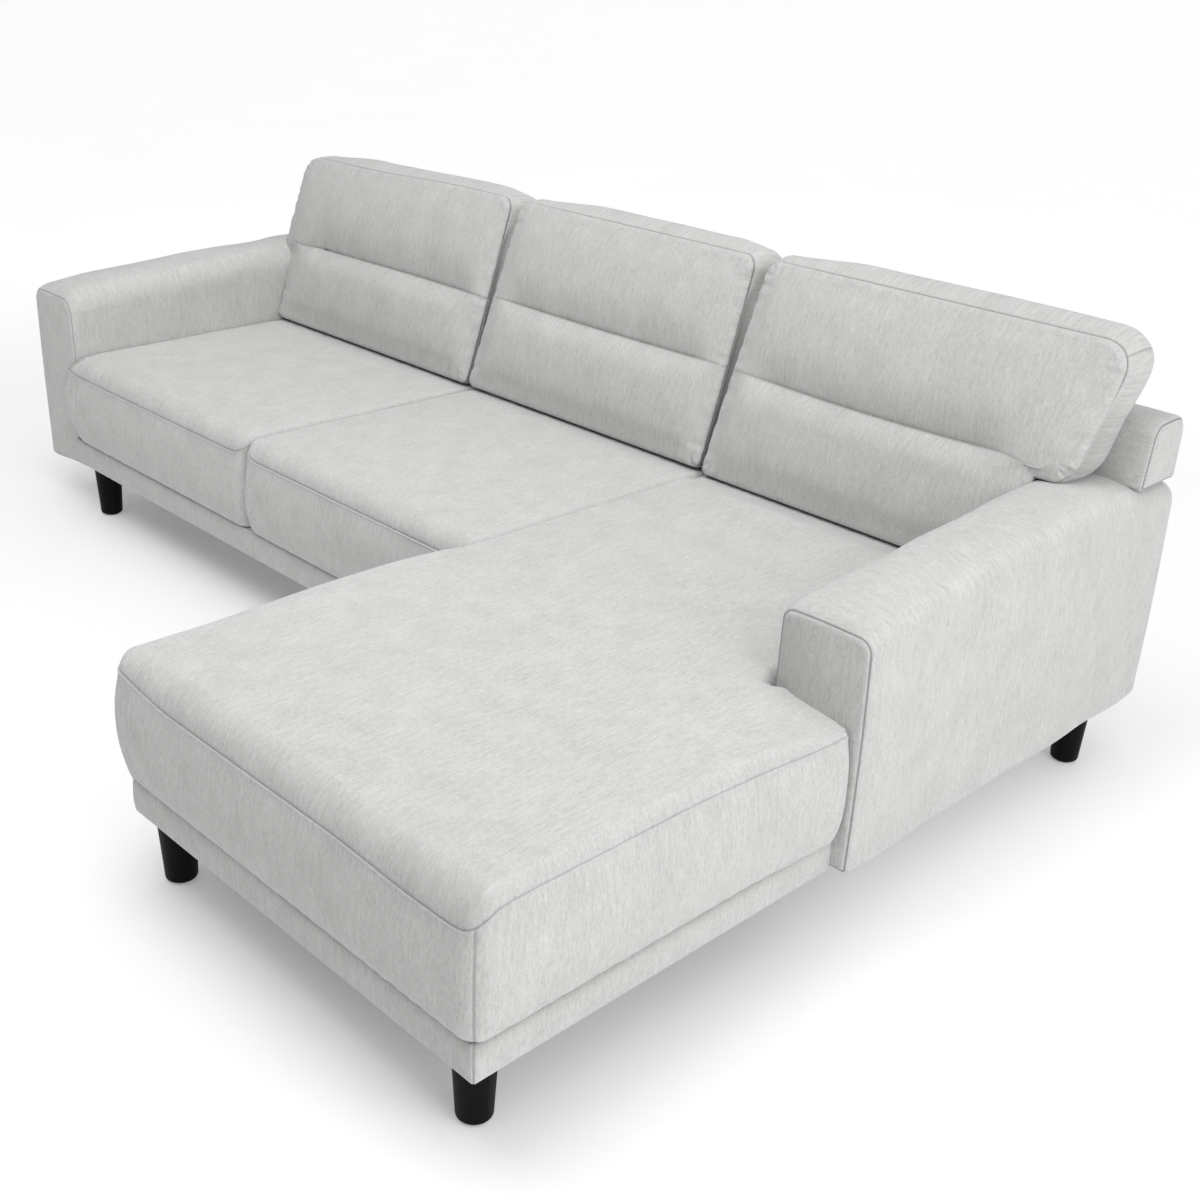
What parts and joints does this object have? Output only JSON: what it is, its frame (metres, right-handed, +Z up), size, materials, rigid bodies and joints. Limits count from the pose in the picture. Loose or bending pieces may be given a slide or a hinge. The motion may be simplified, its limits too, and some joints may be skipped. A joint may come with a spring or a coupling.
{
  "type": "corner sofa",
  "caption": "L-shaped upholstered corner sofa with a chaise on one side, block arms, low back with loose lift-off back cushions, padded plinth and short tapered legs.",
  "frame": {"origin": "middle of the bounding box's footprint, on the floor under the legs", "axes": "+X along the back towards the chaise side (the viewer's right), -Y is the front that a sitter faces, +Z up"},
  "size_m": [2.65, 1.706, 0.868],
  "materials": {
    "upholstery": "light grey melange woven upholstery fabric over foam and fibre",
    "leg_black": "turned wood, satin black lacquer",
    "glide_felt": "pressed felt",
    "frame_timber": "raw plywood and pine",
    "steel_fixings": "zinc plated",
    "webbing": "elastic woven band",
    "dust_cloth": "black spun-bonded lining"
  },
  "bodies": {
    "sofa": {"corner_blocks": "frame_timber", "seat_front_rail": "frame_timber", "seat_rear_rail": "frame_timber", "seat_side_rails": "frame_timber", "seat_centre_rail": "frame_timber", "chaise_front_rail": "frame_timber", "chaise_rear_rail": "frame_timber", "chaise_side_rails": "frame_timber", "chaise_cross_rails": "frame_timber", "arm_posts": "frame_timber", "arm_rails": "frame_timber", "back_posts": "frame_timber", "back_top_rails": "frame_timber", "leg_plates": "steel_fixings", "leg_studs": "steel_fixings", "joining_plates": "steel_fixings", "joining_screws": "steel_fixings", "arm_bolts": "steel_fixings", "back_bolts": "steel_fixings", "webbing_clips": "steel_fixings", "seat_webbing": "webbing", "chaise_webbing": "webbing", "back_webbing": "webbing", "dust_covers": "dust_cloth", "legs": "leg_black", "leg_glides": "glide_felt", "seat_plinth_cover": "upholstery", "chaise_plinth_front": "upholstery", "chaise_plinth_left": "upholstery", "chaise_plinth_right": "upholstery", "left_arm_front_panel": "upholstery", "left_arm_top_panel": "upholstery", "left_arm_outer_panel": "upholstery", "left_arm_inner_panel": "upholstery", "left_arm_rear_panel": "upholstery", "right_arm_front_panel": "upholstery", "right_arm_top_panel": "upholstery", "right_arm_outer_panel": "upholstery", "right_arm_inner_panel": "upholstery", "right_arm_rear_panel": "upholstery", "left_back_front_pad": "upholstery", "left_back_upper_pad": "upholstery", "left_back_cap_pad": "upholstery", "left_back_rear_panel": "upholstery", "right_back_front_pad": "upholstery", "right_back_upper_pad": "upholstery", "right_back_cap_pad": "upholstery", "right_back_rear_panel": "upholstery", "back_end_pads": "upholstery", "left_seat_cushion": "upholstery", "middle_seat_cushion": "upholstery", "chaise_seat_cushion": "upholstery"},
    "left_back_cushion": {"left_back_cushion_lower": "upholstery", "left_back_cushion_upper": "upholstery"},
    "middle_back_cushion": {"middle_back_cushion_lower": "upholstery", "middle_back_cushion_upper": "upholstery"},
    "right_back_cushion": {"right_back_cushion_lower": "upholstery", "right_back_cushion_upper": "upholstery"}
  },
  "joints": [
    {"name": "left_cushion_lift", "type": "slide", "parent": "sofa", "child": "left_back_cushion", "axis": [0, 0.1392, 0.9903], "range_m": [0, 0.55]},
    {"name": "middle_cushion_lift", "type": "slide", "parent": "sofa", "child": "middle_back_cushion", "axis": [0, 0.1392, 0.9903], "range_m": [0, 0.55]},
    {"name": "right_cushion_lift", "type": "slide", "parent": "sofa", "child": "right_back_cushion", "axis": [0, 0.1392, 0.9903], "range_m": [0, 0.55]}
  ]
}
